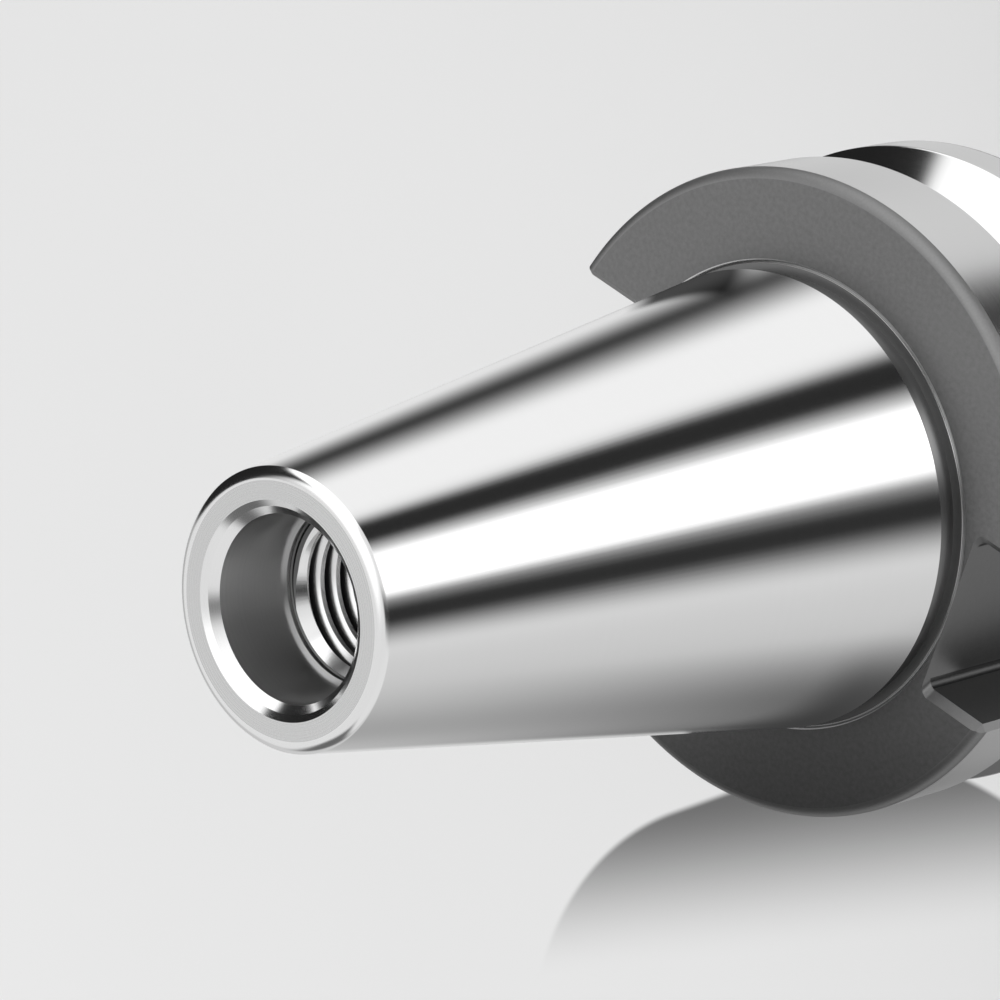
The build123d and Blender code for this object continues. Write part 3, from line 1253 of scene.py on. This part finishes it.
@dataclass(frozen=True)
class NearFlag:
    """One dark flag that hangs near the steel, where only reflections show it.

    Args:
        name: what it is.
        centre: its middle, in millimetres.
        across: direction of its width.
        along: direction of its height.
        half_width: half its width, in millimetres.
        half_height: half its height.
        soft_sides: share of the half width that its near and far side fade over.
        soft_ends: share of the half height that its lower and upper edge fade over.
        strength: how much light it holds back in its middle.
        tone: its own grey.
        one_sided: whether it is clear to rays that meet its back.
    """

    name: str
    centre: Triple
    across: Triple
    along: Triple
    half_width: float
    half_height: float
    soft_sides: Pair
    soft_ends: Pair
    strength: float = 1.0
    tone: float = 0.0
    one_sided: bool = True

    def build(self) -> Piece:
        """Hangs the flag, with edges that fade out.

        Returns:
            The flag.
        """
        flag = Workbench.start(self.name, bpy.ops.mesh.primitive_plane_add, size=2)
        across = Vector(self.across).normalized() * self.half_width
        along = Vector(self.along).normalized() * self.half_height
        facing = across.cross(along).normalized()
        flag.matrix_world = Matrix.Translation(Vector(self.centre) * MM) @ (
            Matrix((across * MM, along * MM, facing)).transposed().to_4x4()
        )
        material = bpy.data.materials.new(self.name)
        nodes = Nodes(material)
        x, y, _ = nodes.split(nodes.place())
        cover = self.strength
        for way, (first, second) in ((x, self.soft_sides), (y, self.soft_ends)):
            cover = way.step(-1, -1 + first) * (0 - way).step(-1, -1 + second) * cover
        if self.one_sided:
            cover = cover * (1 - nodes.output(nodes.make("ShaderNodeNewGeometry"), "Backfacing"))
        nodes.surface(
            {
                "Base Color": (0, 0, 0, 1),
                "Specular IOR Level": 0.0,
                "Emission Color": (self.tone, self.tone, self.tone, 1),
                "Emission Strength": 1.0,
                "Alpha": cover,
            }
        )
        flag.data.materials.append(material)
        flag.visible_camera = False
        flag.visible_diffuse = False
        flag.visible_shadow = False
        return flag


@dataclass
class Studio:
    """The pale floor, the ring of cards that the steel reflects, the lamp and the camera.

    All of it is placed from the axis and the camera, and then turned round the axis as one,
    so that the drive slot lies where the picture shows it.
    """

    wall_brightness: float = 0.80
    wall_top: float = 45.0
    ceiling_brightness: float = 0.78
    top_box_brightness: float = 1.35
    top_box_azimuth: float = 300.0
    top_box_elevation: float = 60.0
    top_box_edge: Pair = (0.72, 0.95)
    edge_softness: float = 5.0
    backdrop: float = 0.80
    floor_r: float = 4000.0
    floor_rim: float = 400.0
    floor_tone: float = 0.74
    floor_mottle: float = 0.015
    # The shade_ values place the flange's shade and reflection that are painted into the floor's colour.
    shade_middle: Pair = (31.2, 129.6)
    shade_way: Pair = (-0.66, -0.75)
    shade_length: float = 22.0
    shade_r: float = 41.0
    shade_softness: float = 0.5
    shade_fade_way: Pair = (-0.654, 0.783)
    shade_fade: Pair = (-43.2, -22.2)
    shade_strength: float = 0.8
    turn: float = -2.1
    camera_place: Triple = (-265.35, -238.18, 503.17)
    view_axis: Triple = (0.524842, 0.457177, -0.718004)
    view_up: Triple = (0.523853, -0.838340, -0.150876)
    lens: float = 202.85
    lamp_azimuth: float = 75.0
    lamp_elevation: float = 50.0
    lamp_distance: float = 900.0
    lamp_size: float = 320.0
    lamp_power: float = 2.0

    @property
    def cards(self) -> tuple[Card, ...]:
        """The cards, each laid over those before it."""
        return (
            Card("back_wall", 44, 26, 10, 0.46, low=-28, high=8),
            Card("side_wall", 118, 62, 20, 0.64, high=14),
            Card("side_wall_shade", 103, 24, 40, 0.32, high=-22),
            Card("black_flag_left", 201, 14, 12, 0.028, high=52),
            Card("key_strip", 231, 14, 6, 1.7, high=30),
            Card("black_flag_middle", 263, 11, 7, 0.024, high=20),
            Card("soft_box", 300, 22, 8, 0.94, high=0),
            Card("high_soft_box", 301, 31, 4, 1.3, low=3, high=60),
            Card("grey_flag_right", 342.5, 17, 17, 0.05, high=-28),
            Card("floor_glow", 330, 55, 10, 0.74, high=-45),
            Card("dark_room", 359.5, 25.5, 2, 0.015, low=-29),
            Card("table_shade", 56, 28, 12, 0.24, high=-47),
            Card("land_shade", 270, 14, 5, 0.01, high=-47),
            Card("far_wall", 92, 16, 6, 0.14, low=6, high=36),
        )

    @property
    def near_flags(self) -> tuple[NearFlag, ...]:
        """Dark flags, seen only in reflections, that stand in for shade on the flange and in the drive slot,
        and for the flange's own reflection at the foot of the taper.
        """
        up = (0, 0, 1)
        return (
            NearFlag(
                "flag_over_flange", (-5.9, 42.8, 112), (0.85, 0.53, 0), (0.53, -0.85, 0),
                62, 32, (0.5, 0.5), (0.4, 0.81), tone=0.07,
            ),
            # These two lie on the flange face and stand in for the flange's own reflection at the foot of
            # the taper.
            NearFlag(
                "flag_on_flange_right", (19, -15, 98.3), (0.7, 0.7, 0), (-0.7, 0.7, 0),
                10, 7, (0.5, 0.5), (0.5, 0.5), strength=0.92,
            ),
            NearFlag(
                "flag_on_flange_left", (-16.2, 18.2, 98.3), (0.81, 0.59, 0), (-0.59, 0.81, 0),
                19.5, 8.75, (1.08, 0.1), (0.07, 1.03), tone=0.05,
            ),
            # These two stand in for the shade inside the drive slot.
            NearFlag(
                "flag_at_slot_side", (-27.3, 6.9, 82), (0.9993, 0.0366, 0), up,
                4.3, 11, (0.6, 0.1), (0.1, 0.2), tone=0.09,
            ),
            NearFlag(
                "flag_at_slot_floor", (-22.43, -0.82, 85.2), (0.0366, -0.9993, 0), up,
                7.9, 11.8, (0.05, 0.05), (0.1, 0.05), tone=0.10,
            ),
            NearFlag(
                "flag_beside_body", (-37.6, 74.8, 68), (1, 0.18, 0), up,
                76, 44, (1.12, 0.29), (0.14, 1.86), strength=0.75, one_sided=False,
            ),
        )

    def build(self) -> None:
        """Sets up the whole studio."""
        self._surroundings()
        turned = Matrix.Rotation(math.radians(self.turn), 4, "Z")
        flags = [flag.build() for flag in self.near_flags]
        for thing in (self._camera(), self._floor(), self._lamp(), *flags):
            thing.matrix_world = turned @ thing.matrix_world
        bpy.context.scene.view_settings.view_transform = "Standard"

    def _camera(self) -> Piece:
        """Puts the camera where the picture was taken from.

        Returns:
            The camera.
        """
        data = bpy.data.cameras.new("camera")
        data.lens = self.lens
        data.sensor_width = 36
        data.clip_start = 0.01
        data.clip_end = 20
        camera = bpy.data.objects.new("camera", data)
        bpy.context.scene.collection.objects.link(camera)
        ahead = Vector(self.view_axis).normalized()
        right = ahead.cross(Vector(self.view_up)).normalized()
        up = right.cross(ahead)
        camera.matrix_world = Matrix.Translation(Vector(self.camera_place) * MM) @ Matrix(
            (right, up, -ahead)
        ).transposed().to_4x4()
        bpy.context.scene.camera = camera
        return camera

    def _surroundings(self) -> None:
        """Lights the world: a wall with cards round the object and a soft box over it."""
        world = bpy.data.worlds.new("studio")
        bpy.context.scene.world = world
        nodes = Nodes(world)
        x, y, z = nodes.split(nodes.output(nodes.make("ShaderNodeTexCoord"), "Generated"))
        azimuth = y.angle_over(x) * math.degrees(1) - self.turn
        elevation = z.rise()
        box = direction(self.top_box_azimuth + self.turn, self.top_box_elevation)
        near_box = x * box.x + y * box.y + z * box.z
        box_glow = near_box.step(*self.top_box_edge) * (self.top_box_brightness - self.ceiling_brightness)
        border = 2 * self.edge_softness
        high = elevation.step(self.wall_top - border, self.wall_top + border)
        glow = (box_glow + self.ceiling_brightness) * high + self.wall_brightness * (1 - high)
        for card in self.cards:
            off = (azimuth - card.azimuth).wrapped(-180, 180)
            inside = off.band(-card.half_width, card.half_width, card.softness)
            inside = inside * elevation.band(card.low, card.high, self.edge_softness)
            glow = glow.towards(card.brightness, inside)
        pale = (self.backdrop, self.backdrop, self.backdrop, 1)
        seen = {
            0: nodes.output(nodes.make("ShaderNodeLightPath"), "Is Camera Ray"),
            1: nodes.make("ShaderNodeBackground", {"Color": nodes.grey(glow)}),
            2: nodes.make("ShaderNodeBackground", {"Color": pale}),
        }
        nodes.make("ShaderNodeOutputWorld", {"Surface": nodes.make("ShaderNodeMixShader", seen)})

    def _floor(self) -> Piece:
        """Lays the pale floor that the nut stands on.

        Returns:
            The floor.
        """
        floor = Workbench.start(
            "floor", bpy.ops.mesh.primitive_circle_add, vertices=96, radius=self.floor_r * MM,
            fill_type="NGON",
        )
        with Workbench.editing(floor):
            bpy.ops.mesh.inset(thickness=self.floor_rim * MM)
        material = bpy.data.materials.new("pale_floor")
        nodes = Nodes(material)
        place = nodes.place()
        mottle = nodes.make("ShaderNodeTexNoise", {"Vector": place, "Scale": 9.0, "Detail": 2.0})
        tone = self.floor_tone - self.floor_mottle + mottle * (2 * self.floor_mottle)
        nodes.surface(
            {
                # The floor's colour is darkened by the painted shade and reflection of the flange.
                "Base Color": nodes.grey(tone * (1 - self._shade(nodes, place))),
                "Roughness": 0.6,
                "Specular IOR Level": 0.0,
            }
        )
        floor.data.materials.append(material)
        floor.visible_glossy = False
        return floor

    def _shade(self, nodes: Nodes, place: Sock) -> Sock:
        """The round, fading shade and dark reflection of the flange, painted into the pale table's colour.

        Args:
            nodes: the floor material's nodes.
            place: the floor's own coordinates.

        Returns:
            How dark it is, from 0 to its full strength.
        """
        x, y, _ = nodes.split(place)
        x = x * (1 / MM) - self.shade_middle[0]
        y = y * (1 / MM) - self.shade_middle[1]
        way_x, way_y = self.shade_way
        along = (x * way_x + y * way_y).held(0, self.shade_length)
        off = (x - along * way_x).length_with(y - along * way_y)
        inside = (0 - off).step(-self.shade_r - self.shade_softness, -self.shade_r + self.shade_softness)
        fade_x, fade_y = self.shade_fade_way
        fading = (y * fade_y + x * fade_x).step(*self.shade_fade)
        return inside * (1 - fading) * self.shade_strength

    def _lamp(self) -> Piece:
        """Hangs the soft lamp that throws the flange's shadow.

        Returns:
            The lamp.
        """
        data = bpy.data.lights.new("lamp", "AREA")
        data.shape = "DISK"
        data.size = self.lamp_size * MM
        data.energy = self.lamp_power
        lamp = bpy.data.objects.new("lamp", data)
        bpy.context.scene.collection.objects.link(lamp)
        aim = direction(self.lamp_azimuth, self.lamp_elevation)
        lamp.visible_glossy = False
        lamp.matrix_world = Matrix.Translation(aim * self.lamp_distance * MM) @ (
            aim.to_track_quat("Z", "Y").to_matrix().to_4x4()
        )
        return lamp


@dataclass
class Assembly:
    """Where one sub-assembly goes in the frame.

    Args:
        maker: the sub-assembly.
        node: the CAD node that its first piece stands for.
        body: the body that it moves with.
        slot: the record's material slot.
    """

    maker: TaperShank | FlangedNose | ClampingNut | SlitCollet | DepthStop
    node: str
    body: str
    slot: str

    def build(self) -> None:
        """Makes the pieces and hangs them in the frame."""
        for number, piece in enumerate(self.maker.build()):
            Workbench.finish(piece, self.body, self.slot)
            if number == 0:
                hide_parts(self.node)


def main() -> None:
    """Builds the studio and each piece in order."""
    logging.basicConfig(level=logging.INFO)
    Studio().build()
    LOG.info("studio set")
    for assembly in (
        Assembly(TaperShank(), "holder_body", "holder", "hardened_steel"),
        Assembly(FlangedNose(), "holder_body", "holder", "hardened_steel"),
        Assembly(ClampingNut(), "clamping_nut", "nut", "nut_steel"),
        Assembly(SlitCollet(), "collet", "collet", "collet_steel"),
        Assembly(DepthStop(), "stop_screw", "stop", "screw_steel"),
    ):
        assembly.build()
        LOG.info("%s done", assembly.node)


if __name__ == "__main__":
    main()
